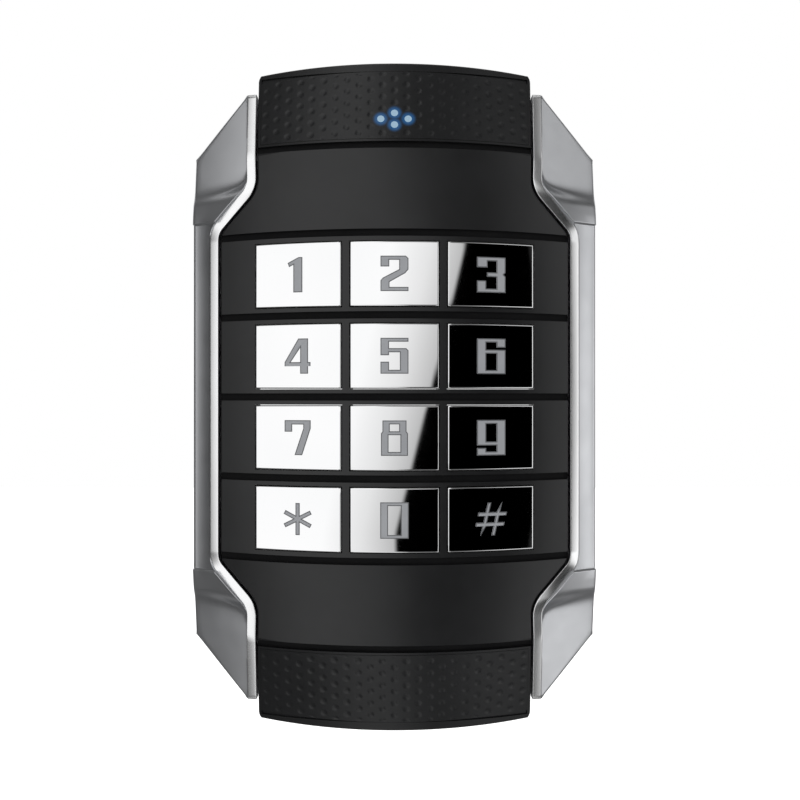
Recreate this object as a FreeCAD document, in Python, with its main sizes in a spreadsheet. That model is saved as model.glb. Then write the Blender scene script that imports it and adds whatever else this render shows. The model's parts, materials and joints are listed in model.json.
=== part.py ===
"""Keypad access reader for a wall box, as a parametric document.

Lengths are millimetres. X runs to the right, Z up, and the front faces -Y. The wall is the
plane Y = 0, and a level is a height above the wall, so a point at level L has Y = -L. The
origin is the middle of the two wall screws, on the wall.
"""
import FreeCAD
import Part
import Sketcher
import os
import re

DOC = FreeCAD.newDocument("keypad_reader")
TURN_TO_FRONT = FreeCAD.Rotation(FreeCAD.Vector(1, 0, 0), 90)
REACH = 150.0

SIZES = {
    # front cover
    "depth": 27.0,
    "arch_radius": 80.0,
    "slope_start": 33.6,
    "slope_tilt": 6.0,
    "end_start": 52.0,
    "end_tilt": 20.0,
    "half_height": 71.0,
    "crown_radius": 436.0,
    "neck_half_width": 28.7,
    "neck_flare": 0.036,
    "waist_half_width": 37.0,
    "shoulder_low": 34.65,
    "shoulder_high": 43.35,
    "shoulder_high_round": 7.0,
    "shoulder_low_round": 3.0,
    "corner_round": 2.5,
    "cover_wall": 2.0,
    "cover_skin": 2.2,
    "cover_foot": 0.5,
    "skirt_level": 10.4,
    "lattice_level": 17.5,
    "groove_width": 1.5,
    "groove_depth": 0.7,
    "texture_depth": 0.3,
    "texture_margin": 0.7,
    "rim_round": 0.5,
    # silver housing
    "housing_half_width": 43.5,
    "housing_half_height": 65.5,
    "corner_half_width": 32.1,
    "corner_half_height": 52.0,
    "housing_wall": 2.5,
    "deck_level": 11.0,
    "shelf_level": 7.8,
    "rim_level": 9.8,
    "shelf_inset": 6.0,
    "band_half_height": 37.0,
    "band_outer_level": 14.8,
    "band_inner_level": 17.4,
    "wing_start_out": 31.9,
    "wing_start_up": 45.0,
    "wing_level": 17.5,
    "wing_fall_out": 21.2,
    "wing_fall_up": 11.0,
    "lip_gap": 0.5,
    "lip_width": 1.9,
    "lip_rise": 0.4,
    # keys
    "key_width": 18.1,
    "key_height": 13.2,
    "column_shift": 19.95,
    "row_pitch": 16.75,
    "key_proud": 0.35,
    "key_bevel": 0.4,
    "key_wall": 1.2,
    "key_gap": 0.2,
    "flange_lip": 0.8,
    "flange_low": 16.3,
    "flange_high": 17.3,
    "side_roof": 20.0,
    "middle_roof": 25.0,
    # stack behind the keys
    "board_low": 10.0,
    "board_high": 11.6,
    "board_inset": 5.95,
    "board_half_height": 60.0,
    "mat_thick": 1.0,
    "mat_half_width": 29.8,
    "mat_half_height": 33.4,
    "dome_base": 5.5,
    "dome_top": 3.6,
    "pill_radius": 2.4,
    "light_height": 57.8,
    "light_spread": 2.85,
    "light_rise": 1.35,
    "light_radius": 0.75,
    # back cover and wall plate
    "back_low": 2.0,
    "back_high": 4.0,
    "plate_thick": 1.5,
    "plate_half_width": 38.0,
    "plate_top": 50.0,
    "plate_bottom": -59.4,
    "wall_screw_shift": 30.0,
    "wall_slot_radius": 2.25,
    "wall_slot_length": 8.0,
    "cable_radius": 12.5,
    "cable_height": 16.0,
}

COLUMNS = (-1, 0, 1)
ROWS = (1.5, 0.5, -0.5, -1.5)
KEY_NAMES = ("1", "2", "3", "4", "5", "6", "7", "8", "9", "star", "0", "hash")
KEYS = [(name, COLUMNS[i % 3], ROWS[i // 3]) for i, name in enumerate(KEY_NAMES)]
BOARD_SCREWS = [(x, z) for x in (-18.6, 18.6) for z in (-54, -40, 40, 54)]
COVER_SCREWS = [(x, z) for x in (-33.6, 33.6) for z in (-25, 0, 25)]
BACK_SCREWS = [(x, z) for x in (-36, 36) for z in (-52, 52)]
STATUS_LIGHTS = ((-1, 0), (0, 1), (0, -1), (1, 0))
SWITCH_COUNT = 8
SWITCH_PITCH = 2.54
SWITCH_Z = 9
SOCKET_Z = 22
TAMPER_X = 16
TAMPER_Z = -20


def ref(text):
    """An expression in which each size's name is looked up in the sheet."""
    return re.sub(r"[a-z_]+", lambda w: "dims." + w[0] if w[0] in SIZES else w[0], str(text))


def make_sheet():
    sheet = DOC.addObject("Spreadsheet::Sheet", "dims")
    for row, (alias, value) in enumerate(SIZES.items(), 1):
        sheet.set(f"A{row}", alias)
        sheet.set(f"B{row}", str(value))
        sheet.setAlias(f"B{row}", alias)
    DOC.recompute()


def bind(item, **expressions):
    """Tie properties of an object to the sheet; base_x stands for Placement.Base.x."""
    for name, text in expressions.items():
        item.setExpression(name.replace("base_", "Placement.Base."), ref(text))
    return item


def slab(name, x, z, level):
    """A box given by its spans along X, along Z and in level."""
    return bind(
        DOC.addObject("Part::Box", name),
        Length=f"({x[1]}) - ({x[0]})",
        Width=f"({level[1]}) - ({level[0]})",
        Height=f"({z[1]}) - ({z[0]})",
        base_x=x[0],
        base_y=f"-({level[1]})",
        base_z=z[0],
    )


def brick(name, x, z, size_x, size_z, level):
    """A box given by its middle and its sizes."""
    x_span = (f"{x} - ({size_x}) / 2", f"{x} + ({size_x}) / 2")
    z_span = (f"{z} - ({size_z}) / 2", f"{z} + ({size_z}) / 2")
    return slab(name, x_span, z_span, level)


def post(name, x, z, level, radius):
    """A round post that stands on the wall side and points to the front."""
    item = DOC.addObject("Part::Cylinder", name)
    item.Placement.Rotation = TURN_TO_FRONT
    return bind(
        item,
        Radius=radius,
        Height=f"({level[1]}) - ({level[0]})",
        base_x=x,
        base_y=f"-({level[0]})",
        base_z=z,
    )


def taper(name, x, z, level, low_radius, high_radius):
    item = DOC.addObject("Part::Cone", name)
    item.Placement.Rotation = TURN_TO_FRONT
    return bind(
        item,
        Radius1=low_radius,
        Radius2=high_radius,
        Height=f"({level[1]}) - ({level[0]})",
        base_x=x,
        base_y=f"-({level[0]})",
        base_z=z,
    )


def fuse(name, items):
    item = DOC.addObject("Part::MultiFuse", name)
    item.Shapes = items
    item.Refine = True
    return item


def common(name, items):
    item = DOC.addObject("Part::MultiCommon", name)
    item.Shapes = items
    return item


def cut(name, base, tool):
    item = DOC.addObject("Part::Cut", name)
    item.Base = base
    item.Tool = tool
    return item


def group(name, items):
    """Separate solids kept together in one sub-part."""
    item = DOC.addObject("Part::Compound", name)
    item.Links = items
    return item


def value_of(text):
    """The number that an expression in the sheet's sizes stands for."""
    return float(DOC.getObject("dims").evalExpression(ref(text)))


def draw_polygon(sketch, corners):
    """A closed polygon whose corners are each dimensioned from the sketch's origin."""
    first = sketch.GeometryCount
    places = [(value_of(x), value_of(z)) for x, z in corners]
    points = [FreeCAD.Vector(x, z, 0) for x, z in places]
    for start, end in zip(points, points[1:] + points[:1]):
        sketch.addGeometry(Part.LineSegment(start, end), False)
    for i, corner in enumerate(corners):
        line = first + i
        following = first + (i + 1) % len(corners)
        sketch.addConstraint(Sketcher.Constraint("Coincident", line, 2, following, 1))
        for kind, text, value in zip(("DistanceX", "DistanceY"), corner, places[i]):
            number = sketch.addConstraint(Sketcher.Constraint(kind, -1, 1, line, 1, value))
            sketch.setExpression(f"Constraints[{number}]", ref(text))


def draw_circle(sketch, x, z, radius):
    centre = FreeCAD.Vector(value_of(x), value_of(z), 0)
    size = value_of(radius)
    ring = sketch.addGeometry(Part.Circle(centre, FreeCAD.Vector(0, 0, 1), size), False)
    wanted = (
        (Sketcher.Constraint("DistanceX", -1, 1, ring, 3, centre.x), x),
        (Sketcher.Constraint("DistanceY", -1, 1, ring, 3, centre.y), z),
        (Sketcher.Constraint("Radius", ring, size), radius),
    )
    for constraint, text in wanted:
        number = sketch.addConstraint(constraint)
        sketch.setExpression(f"Constraints[{number}]", ref(text))


def prism(name, corners, level, draft=0):
    """A polygon in X and Z pushed from one level to another."""
    sketch = DOC.addObject("Sketcher::SketchObject", name + "_outline")
    sketch.Placement.Rotation = TURN_TO_FRONT
    bind(sketch, base_y=f"-({level[0]})")
    draw_polygon(sketch, corners)
    item = DOC.addObject("Part::Extrusion", name)
    item.Base = sketch
    item.DirMode = "Normal"
    item.Solid = True
    item.TaperAngle = draft
    return bind(item, LengthFwd=f"({level[1]}) - ({level[0]})")


def round_edges(name, base, places):
    """Round the edges that run straight back at the given (x, z, radius) places."""
    DOC.recompute()
    picked = []
    for x, z, radius in places:
        for number, edge in enumerate(base.Shape.Edges, 1):
            ends = [v.Point for v in edge.Vertexes]
            if all(abs(p.x - x) < 0.01 and abs(p.z - z) < 0.01 for p in ends):
                picked.append((number, radius, radius))
    item = DOC.addObject("Part::Fillet", name)
    item.Base = base
    item.Edges = picked
    return item


def plate(name, corners, level, holes=(), windows=()):
    """A flat plate as a body: one sketch with its outline, holes and windows, and a pad."""
    body = DOC.addObject("PartDesign::Body", name + "_body")
    plane = next(f for f in body.Origin.OriginFeatures if f.Role == "XZ_Plane")
    sketch = body.newObject("Sketcher::SketchObject", name + "_sketch")
    sketch.AttachmentSupport = (plane, "")
    sketch.MapMode = "FlatFace"
    sketch.setExpression("AttachmentOffset.Base.z", ref(level[0]))
    draw_polygon(sketch, corners)
    for x, z, radius in holes:
        draw_circle(sketch, x, z, radius)
    for window in windows:
        draw_polygon(sketch, window)
    pad = body.newObject("PartDesign::Pad", name + "_pad")
    pad.Profile = sketch
    pad.setExpression("Length", ref(f"({level[1]}) - ({level[0]})"))
    return body


def arch(name, grow, pivot_z, pivot_level, tilt):
    """A long cylinder whose crest passes the pivot and tilts back towards the wall."""
    item = DOC.addObject("Part::Cylinder", name)
    item.Placement.Rotation = FreeCAD.Rotation(FreeCAD.Vector(1, 0, 0), -value_of(tilt))
    return bind(
        item,
        Radius=f"arch_radius + ({grow})",
        Height=2 * REACH,
        base_y=f"-({pivot_level}) + arch_radius * cos({tilt}) - {REACH} * sin({tilt})",
        base_z=f"{pivot_z} - arch_radius * sin({tilt}) - {REACH} * cos({tilt})",
    )


def crest(name, grow="0"):
    """All that lies under the arched front, moved out by grow: flat, then two slopes each way."""
    end_level = "depth - (end_start - slope_start) * tan(slope_tilt)"
    return common(
        name,
        [
            arch(name + "_middle", grow, "0", "depth", "0"),
            arch(name + "_slope_up", grow, "slope_start", "depth", "slope_tilt"),
            arch(name + "_slope_down", grow, "-slope_start", "depth", "-slope_tilt"),
            arch(name + "_end_up", grow, "end_start", end_level, "end_tilt"),
            arch(name + "_end_down", grow, "-end_start", end_level, "-end_tilt"),
        ],
    )


def mirrored_corners(quarter):
    """The four quarters of an outline from the corners of its upper right one."""
    flip = [(f"-({x})", z) for x, z in reversed(quarter)]
    right = quarter + [(x, f"-({z})") for x, z in reversed(quarter)]
    left = [(x, f"-({z})") for x, z in reversed(flip)] + flip
    return right + left


def shoulder_shift(grow):
    """How far a shoulder's corner moves along Z when the outline grows."""
    turn = "atan((waist_half_width - neck_half_width) / (shoulder_high - shoulder_low))"
    return f"({grow}) * tan({turn} / 2)"


def neck_at(height):
    """The neck's half width, which grows a little towards each end."""
    return f"neck_half_width + neck_flare * (({height}) - shoulder_high)"


def cover_outline(grow, end):
    """The front's outline: a wide waist, slanted shoulders and a narrower neck each way."""
    shift = shoulder_shift(grow)
    quarter = [
        (f"{neck_at(end)} + ({grow})", end),
        (f"neck_half_width + ({grow})", f"shoulder_high + {shift}"),
        (f"waist_half_width + ({grow})", f"shoulder_low + {shift}"),
    ]
    return mirrored_corners(quarter)


def housing_outline(inset):
    """The housing's outline: a tall rectangle with its corners cut off."""
    across = "(housing_half_width - corner_half_width)"
    along = "(housing_half_height - corner_half_height)"
    quarter = [
        (f"corner_half_width - ({inset}) * tan(atan({along} / {across}) / 2)",
         f"housing_half_height - ({inset})"),
        (f"housing_half_width - ({inset})",
         f"corner_half_height - ({inset}) * tan(atan({across} / {along}) / 2)"),
    ]
    return mirrored_corners(quarter)


def outline_block(name, grow, level, end="half_height"):
    """The front's outline as a block, with its shoulders rounded."""
    block = prism(name + "_sharp", cover_outline(grow, end), level)
    amount = value_of(grow)
    shift = value_of(shoulder_shift(grow))
    neck = SIZES["neck_half_width"] + amount
    waist = SIZES["waist_half_width"] + amount
    high = SIZES["shoulder_high"] + shift
    low = SIZES["shoulder_low"] + shift
    high_round = SIZES["shoulder_high_round"] - amount
    low_round = SIZES["shoulder_low_round"] + amount
    places = []
    for side in (-1, 1):
        for way in (-1, 1):
            places.append((side * neck, way * high, high_round))
            places.append((side * waist, way * low, low_round))
    return round_edges(name, block, places)


def soften(name, base, radius, picked):
    """Round the edges where a picked face meets any other face."""
    DOC.recompute()
    chosen = [f for f in base.Shape.Faces if picked(f)]
    others = [f for f in base.Shape.Faces if not picked(f)]
    numbers = [
        n for n, edge in enumerate(base.Shape.Edges, 1)
        if any(edge.isSame(e) for f in chosen for e in f.Edges)
        and any(edge.isSame(e) for f in others for e in f.Edges)
    ]
    item = DOC.addObject("Part::Fillet", name)
    item.Base = base
    item.Edges = [(n, value_of(radius), value_of(radius)) for n in numbers]
    return item


def on_crest(face):
    """True for a face of the arched front, whatever its offset."""
    return isinstance(face.Surface, Part.Cylinder) and 60 < face.Surface.Radius < 100


def key_middle(column, row):
    return f"{column} * column_shift", f"{row} * row_pitch"


def make_front_cover():
    outer = outline_block("cover_block", "0", ("cover_foot", "40"))
    corner = value_of(neck_at("half_height"))
    corners = [(x * corner, z * SIZES["half_height"], SIZES["corner_round"])
               for x in (-1, 1) for z in (-1, 1)]
    outer = round_edges("cover_rounded", outer, corners)
    crown_up = post("crown_up", "0", "half_height - crown_radius", ("0", "50"), "crown_radius")
    crown_low = post("crown_low", "0", "crown_radius - half_height", ("0", "50"), "crown_radius")
    outer = common("cover_outer", [outer, crest("cover_crest"), crown_up, crown_low])
    outer = soften("cover_softened", outer, "rim_round", on_crest)

    inner = outline_block("cover_room_block", "-cover_wall", ("0", "40"), "half_height - 3.2")
    solid_inside = [
        brick("lattice", "0", "0", 63.0, 70.4, ("lattice_level", "40")),
        *(brick(f"end_rib_{i}", "0", 64.2 * i, 60.0, 2.0, ("skirt_level", "40")) for i in (-1, 1)),
    ]
    for i, (x, z) in enumerate(BOARD_SCREWS):
        solid_inside.append(post(f"board_boss_{i}", x, z, ("board_high", "40"), 2.6))
    for i, (x, z) in enumerate(COVER_SCREWS):
        solid_inside.append(post(f"cover_boss_{i}", x, z, ("skirt_level", "40"), 2.3))
    room = common("cover_room_arched", [inner, crest("room_crest", "-cover_skin")])
    room = cut("cover_room", room, fuse("cover_inside", solid_inside))

    grooves = [
        brick(f"groove_{i}", "0", z, 90.0, "groove_width", ("5", "40"))
        for i, z in enumerate(("-row_pitch", "0", "row_pitch"))
    ]
    for way in (-1, 1):
        for start in ("slope_start", "end_start"):
            grooves.append(
                brick(f"groove_{start}_{way + 1}", "0", f"{way} * {start}", 90.0,
                      "groove_width", ("5", "40"))
            )
    grooves = cut("grooves", fuse("groove_slabs", grooves), crest("groove_bed", "-groove_depth"))

    patch = prism(
        "texture_patch",
        cover_outline("-texture_margin", "half_height - texture_margin - 1.3"),
        ("5", "40"),
    )
    middle = brick("texture_gap", "0", "0", 90.0, "2 * (end_start + groove_width / 2 + 0.5)",
                   ("0", "45"))
    patch = cut("texture_ends", patch, middle)
    patch = cut("texture_bed", patch, crest("texture_crest", "-texture_depth"))

    away = [
        brick("skirt_trim", "0", "0", 90.0, "2 * housing_half_height + 0.4",
              ("0", "skirt_level")),
    ]
    for name, column, row in KEYS:
        x, z = key_middle(column, row)
        away.append(
            brick(f"window_{name}", x, z, "key_width + 2 * key_gap", "key_height + 2 * key_gap",
                  ("5", "45"))
        )
    for i, (x, z) in enumerate(BOARD_SCREWS):
        away.append(post(f"board_pilot_{i}", x, z, ("board_high", "16"), 0.9))
    for i, (x, z) in enumerate(COVER_SCREWS):
        away.append(post(f"cover_pilot_{i}", x, z, ("skirt_level", "15"), 1.1))
    for i, (x, z) in enumerate(STATUS_LIGHTS):
        away.append(
            post(f"light_hole_{i}", f"{x} * light_spread", f"light_height + {z} * light_rise",
                 ("5", "45"), "light_radius")
        )
    away += [room, grooves, patch]
    shell = cut("cover_shell", outer, fuse("cover_away", away))
    driver_hole = DOC.addObject("Part::Cylinder", "driver_hole")
    bind(driver_hole, Radius="2.8", Height="10", base_y="-6", base_z="-half_height - 2")
    return cut("cover_finished", shell, driver_hole)


def half_space(name, x, z, level, out, up):
    """A thick disc that takes away all in front of a plane falling outwards and upwards."""
    item = DOC.addObject("Part::Cylinder", name)
    normal = FreeCAD.Vector(value_of(f"tan({out})"), -1, value_of(f"tan({up})"))
    item.Placement.Rotation = FreeCAD.Rotation(FreeCAD.Vector(0, 0, 1), normal)
    return bind(item, Radius=90, Height=40, base_x=x, base_y=f"-({level})", base_z=z)


def mirror(name, source, normal):
    item = DOC.addObject("Part::Mirroring", name)
    item.Source = source
    item.Normal = normal
    return item


def make_housing():
    """The cast frame: two sloped wings at each end, a steeper band between, and a lip."""
    quarter = [
        ("0", "housing_half_height"),
        ("corner_half_width", "housing_half_height"),
        ("housing_half_width", "corner_half_height"),
        ("housing_half_width", "band_half_height - 1"),
        ("0", "band_half_height - 1"),
    ]
    wing = cut(
        "wing_sloped",
        prism("wing", quarter, ("0", "30")),
        half_space("wing_plane", "wing_start_out", "wing_start_up", "wing_level",
                   "wing_fall_out", "wing_fall_up"),
    )
    right = fuse("wings_right", [wing, mirror("wing_low", wing, FreeCAD.Vector(0, 0, 1))])
    wings = fuse("wings", [right, mirror("wings_left", right, FreeCAD.Vector(1, 0, 0))])

    fall = "atan((band_inner_level - band_outer_level) / 4.6)"
    band = brick("band_block", "0", "0", "2 * housing_half_width", "2 * band_half_height",
                 ("0", "30"))
    slope = half_space("band_plane", "housing_half_width", "0", "band_outer_level", fall, "0")
    slopes = fuse("band_planes", [slope, mirror("band_plane_left", slope,
                                                FreeCAD.Vector(1, 0, 0))])
    band = cut("band", band, slopes)

    lip = outline_block("lip_block", "lip_gap + lip_width", ("0", "40"), "housing_half_height")
    flank = prism("flank_block", cover_outline("lip_gap + lip_width + 8.6", "80"),
                  ("11", "21"), -45)
    belt = brick("flank_zone", "0", "0", 100, "2 * shoulder_high + 1", ("0", "40"))
    flank = common("flank", [flank, belt])
    lip = common("lip", [fuse("lip_and_flank", [lip, flank]), crest("lip_crest", "lip_rise")])
    outer = common(
        "housing_outer",
        [fuse("housing_sum", [wings, band, lip]),
         prism("housing_block", housing_outline("0"), ("0", "40"))],
    )

    throat = outline_block("throat", "lip_gap + lip_width", ("shelf_level", "40"), "63.5")
    core = prism("core_block", housing_outline("housing_wall"), ("-1", "deck_level"))
    core = cut("core", core, throat)
    away = [
        core,
        outline_block("opening", "lip_gap", ("rim_level", "45"), "80"),
        prism("shelf_hole", cover_outline("-shelf_inset", "59.5"), ("-1", "45")),
    ]
    for i, (x, z) in enumerate(COVER_SCREWS):
        away.append(post(f"shelf_hole_{i}", x, z, ("0", "12"), 1.25))
    security = DOC.addObject("Part::Cylinder", "security_way")
    away.append(bind(security, Radius="1.6", Height="8", base_y="-6", base_z="-68"))
    shell = cut("housing_shell", outer, fuse("housing_away", away))

    posts = [post(f"corner_post_{i}", x, z, ("back_high", "deck_level + 0.5"), 2.8)
             for i, (x, z) in enumerate(BACK_SCREWS)]
    pilots = [post(f"corner_pilot_{i}", x, z, ("back_high", "10.5"), 1.1)
              for i, (x, z) in enumerate(BACK_SCREWS)]
    return cut("housing_finished", fuse("housing_posts", [shell, *posts]),
               fuse("housing_pilots", pilots))


def make_seal():
    """A flat ring between the housing's shelf and the front cover's foot."""
    level = ("rim_level", "skirt_level")
    ring = prism("seal_block", cover_outline("-0.1", "65.1"), level)
    inside = prism("seal_inside", cover_outline("-5.6", "60.8"), level)
    holes = [post(f"seal_hole_{i}", x, z, level, 1.25) for i, (x, z) in enumerate(COVER_SCREWS)]
    return cut("seal", ring, fuse("seal_away", [inside, *holes]))


def window(x, z, size_x, size_z):
    """The corners of a rectangular window in a plate."""
    left, right = f"{x} - {size_x} / 2", f"{x} + {size_x} / 2"
    low, high = f"{z} - {size_z} / 2", f"{z} + {size_z} / 2"
    return [(left, low), (right, low), (right, high), (left, high)]


def make_back_cover():
    inset = "housing_wall + 0.2"
    windows = [window("0", "cable_height", 27, 27), window("0", "-58.9", 14, 4)]
    windows += [window(x, "41.55", 9, 4.5) for x in (-22, 22)]
    holes = [(x, z, "1.25") for x, z in BACK_SCREWS] + [(TAMPER_X, TAMPER_Z, "1.6")]
    sheet = plate("back_cover", housing_outline(inset), ("back_low", "back_high"), holes,
                  windows)
    heads = [
        brick(f"head_room_{x}", x, "0", 17, 9, ("back_low", "back_low + 1.4")) for x in (-30, 30)
    ]
    return cut("back_cover_finished", sheet, fuse("head_rooms", heads))


def make_mounting_plate():
    """The steel wall plate: two screw slots, a cable hole, two hooks and a screw tab."""
    side, top, bottom = "plate_half_width", "plate_top", "plate_bottom"
    corners = [
        (f"-{side} + 14", bottom), (f"{side} - 14", bottom), (side, f"{bottom} + 14"),
        (side, f"{top} - 5"), (f"{side} - 5", top), (f"-{side} + 5", top),
        (f"-{side}", f"{top} - 5"), (f"-{side}", f"{bottom} + 14"),
    ]
    holes = [("0", "cable_height", "cable_radius"), (TAMPER_X, TAMPER_Z, "1.6")]
    level = ("0", "plate_thick")
    sheet = plate("mounting_plate", corners, level, holes)
    added = [sheet, slab("tab", (-6, 6), (bottom, f"{bottom} + 1.5"), ("0", "8.6"))]
    for x in (-22, 22):
        added.append(brick(f"hook_leg_{x}", x, "42.75", 8, 1.5, ("0", "5.7")))
        added.append(brick(f"hook_lip_{x}", x, "44", 8, 4, ("back_high + 0.2", "5.7")))
    half = "(wall_slot_length / 2 - wall_slot_radius)"
    away = []
    for side in (-1, 1):
        middle = f"{side} * wall_screw_shift"
        away.append(brick(f"slot_{side}", middle, "0", f"2 * {half}", "2 * wall_slot_radius",
                          level))
        for end in (-1, 1):
            away.append(post(f"slot_end_{side}_{end}", f"{middle} + {end} * {half}", "0", level,
                             "wall_slot_radius"))
    thread = DOC.addObject("Part::Cylinder", "tab_thread")
    away.append(bind(thread, Radius="1.5", Height="4", base_y="-6", base_z="-61"))
    return cut("mounting_plate_finished", fuse("plate_bent", added), fuse("plate_away", away))


def make_main_board():
    outline = cover_outline("-board_inset", "board_half_height")
    holes = [(x, z, "1.1") for x, z in BOARD_SCREWS]
    return plate("main_board", outline, ("board_low", "board_high"), holes)


def make_antenna():
    """Four turns of flat copper round the back of the board."""
    level = ("board_low - 0.15", "board_low")
    turns = []
    for i in range(4):
        wide, high = 44.6 - 0.9 * i, 118.0 - 0.9 * i
        outer = brick(f"turn_{i}", "0", "0", wide, high, level)
        inner = brick(f"turn_room_{i}", "0", "0", wide - 0.5, high - 0.5, level)
        turns.append(cut(f"antenna_turn_{i}", outer, inner))
    return group("antenna", turns)


def make_keypad_mat():
    """A rubber sheet with one hollow dome under each key."""
    top = "board_high + mat_thick"
    sheet = brick("mat_sheet", "0", "0", "2 * mat_half_width", "2 * mat_half_height",
                  ("board_high", top))
    domes = []
    rooms = []
    for name, column, row in KEYS:
        x, z = key_middle(column, row)
        domes.append(taper(f"dome_{name}", x, z, (top, "flange_low"), "dome_base", "dome_top"))
        rooms.append(taper(f"dome_room_{name}", x, z, ("board_high", "14"), "dome_base - 0.8",
                           "dome_top - 0.9"))
        rooms.append(brick(f"light_gap_{name}", f"{x} + 7.3", z, 2.4, 2.4, ("board_high", top)))
    return cut("mat", fuse("mat_sum", [sheet, *domes]), fuse("mat_rooms", rooms))


def make_contact_pills():
    pills = []
    for name, column, row in KEYS:
        x, z = key_middle(column, row)
        pills.append(post(f"pill_{name}", x, z, ("13.4", "14"), "pill_radius"))
    return group("pills", pills)


def make_backlights():
    lights = []
    for name, column, row in KEYS:
        x, z = key_middle(column, row)
        lights.append(brick(f"backlight_{name}", f"{x} + 7.3", z, 1.6, 0.8,
                            ("board_high", "board_high + 0.6")))
    return group("backlights", lights)


def status_place(i):
    x, z = STATUS_LIGHTS[i]
    return f"{x} * light_spread", f"light_height + {z} * light_rise"


def make_status_leds():
    level = ("board_high", "board_high + 0.7")
    return group("status_led_group",
                 [brick(f"status_led_{i}", *status_place(i), 1.4, 0.9, level) for i in range(4)])


def make_light_guide():
    """Four clear pins on one carrier, level with the front."""
    pins = [post(f"pin_{i}", *status_place(i), ("board_high + 0.8", "40"), "light_radius")
            for i in range(4)]
    carrier = brick("pin_carrier", "0", "light_height", 9.5, 6, ("13", "14"))
    return common("light_guide", [fuse("pins", [*pins, carrier]), crest("pin_crest", "0.05")])


def make_buzzer():
    can = post("buzzer_can", "-10", "-40", ("5.2", "board_low"), 6)
    return cut("buzzer_open", can, post("buzzer_mouth", "-10", "-40", ("5.2", "6.2"), 1.2))


def make_socket():
    """A ten-way wiring socket that opens towards the wall."""
    shell = brick("socket_block", "0", SOCKET_Z, 26.4, 6.4, ("4.6", "board_low"))
    return cut("socket_shell", shell, brick("socket_room", "0", SOCKET_Z, 24.8, 4.8,
                                            ("4.6", "9")))


def make_socket_pins():
    return group("pins_ten", [
        post(f"socket_pin_{i}", 2.4 * (i - 4.5), SOCKET_Z, ("5.2", "9"), 0.35) for i in range(10)
    ])


def switch_x(i):
    return SWITCH_PITCH * (i - (SWITCH_COUNT - 1) / 2)


def make_switch_body():
    block = brick("switch_block", "0", SWITCH_Z, 22.2, 6.6, ("6.4", "board_low"))
    slots = [brick(f"switch_slot_{i}", switch_x(i), SWITCH_Z, 1.1, 2.8, ("6.4", "8"))
             for i in range(SWITCH_COUNT)]
    return cut("switch_slotted", block, fuse("switch_slots", slots))


def make_switch_slider(i):
    return brick(f"slider_{i}", switch_x(i), f"{SWITCH_Z} - 0.7", 1.0, 1.3, ("6", "8"))


def make_tamper_body():
    block = brick("tamper_block", TAMPER_X, TAMPER_Z, 7, 7, ("5", "board_low"))
    room = post("tamper_room", TAMPER_X, TAMPER_Z, ("5.6", "9.8"), 2.4)
    mouth = post("tamper_mouth", TAMPER_X, TAMPER_Z, ("5", "5.7"), 1.3)
    return cut("tamper_hollow", block, fuse("tamper_away", [room, mouth]))


def make_tamper_plunger():
    stem = post("tamper_stem", TAMPER_X, TAMPER_Z, ("0", "7.7"), 1.2)
    collar = post("tamper_collar", TAMPER_X, TAMPER_Z, ("7.6", "8.1"), 2.2)
    return fuse("tamper_pin", [stem, collar])


def make_tamper_spring():
    """A short coil pressed between the plunger's collar and the switch's floor."""
    coil_radius = 1.7
    path = DOC.addObject("Part::Helix", "spring_path")
    path.Radius = coil_radius
    path.Pitch = 0.6
    path.Height = 1.1
    ring = DOC.addObject("Part::RegularPolygon", "spring_wire")
    ring.Polygon = 12
    ring.Circumradius = 0.25
    ring.Placement = FreeCAD.Placement(FreeCAD.Vector(coil_radius, 0, 0), TURN_TO_FRONT)
    coil = DOC.addObject("Part::Sweep", "spring_coil")
    coil.Sections = [ring]
    coil.Spine = (path, [])
    coil.Solid = True
    coil.Frenet = True
    coil.Placement.Rotation = TURN_TO_FRONT
    return bind(coil, base_x=TAMPER_X, base_y="-8.36", base_z=TAMPER_Z)


def make_controller():
    block = brick("controller_block", "-9", "-14", 10, 10, ("8.5", "board_low - 0.1"))
    legs = [brick(f"controller_leg_{i}_{side}", f"-9 + {side} * 5.4", f"-14 + {i} * 0.8", 1.0,
                  0.35, ("board_low - 0.4", "board_low")) for i in range(-5, 6)
            for side in (-1, 1)]
    return fuse("controller", [block, *legs])


def make_small_parts():
    """Resistors and capacitors on the wall side of the board."""
    places = [(8, -8), (12, -8), (8, -12), (12, -12), (4, -20), (-16, -26), (-12, -26),
              (-14, 34), (-10, 34), (-6, 34), (10, 34), (14, 34)]
    return group("small_part_group", [
        brick(f"small_part_{i}", x, z, 2.0, 1.25, ("board_low - 0.9", "board_low"))
        for i, (x, z) in enumerate(places)
    ])


def make_screws(name, places, head, shank):
    """Round-headed screws driven from the wall side; head and shank are (low, high, radius)."""
    screws = []
    for i, (x, z) in enumerate(places):
        top = post(f"{name}_head_{i}", x, z, head[:2], head[2])
        stem = post(f"{name}_stem_{i}", x, z, shank[:2], shank[2])
        socket = post(f"{name}_drive_{i}", x, z, (head[0], f"{head[0]} + 0.6"), 0.8)
        screws.append(cut(f"{name}_{i}", fuse(f"{name}_solid_{i}", [top, stem]), socket))
    return group(f"{name}_group", screws)


def make_security_screw():
    head = bind(DOC.addObject("Part::Cylinder", "security_head"), Radius="2.5", Height="2.1",
                base_y="-6", base_z="-housing_half_height - 2.1")
    stem = bind(DOC.addObject("Part::Cylinder", "security_stem"), Radius="1.5", Height="8.6",
                base_y="-6", base_z="-housing_half_height")
    drive = DOC.addObject("Part::Prism", "security_drive")
    drive.Polygon = 6
    bind(drive, Circumradius="1.4", Height="1.2", base_y="-6",
         base_z="-housing_half_height - 2.1")
    return cut("security", fuse("security_solid", [head, stem]), drive)


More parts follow.
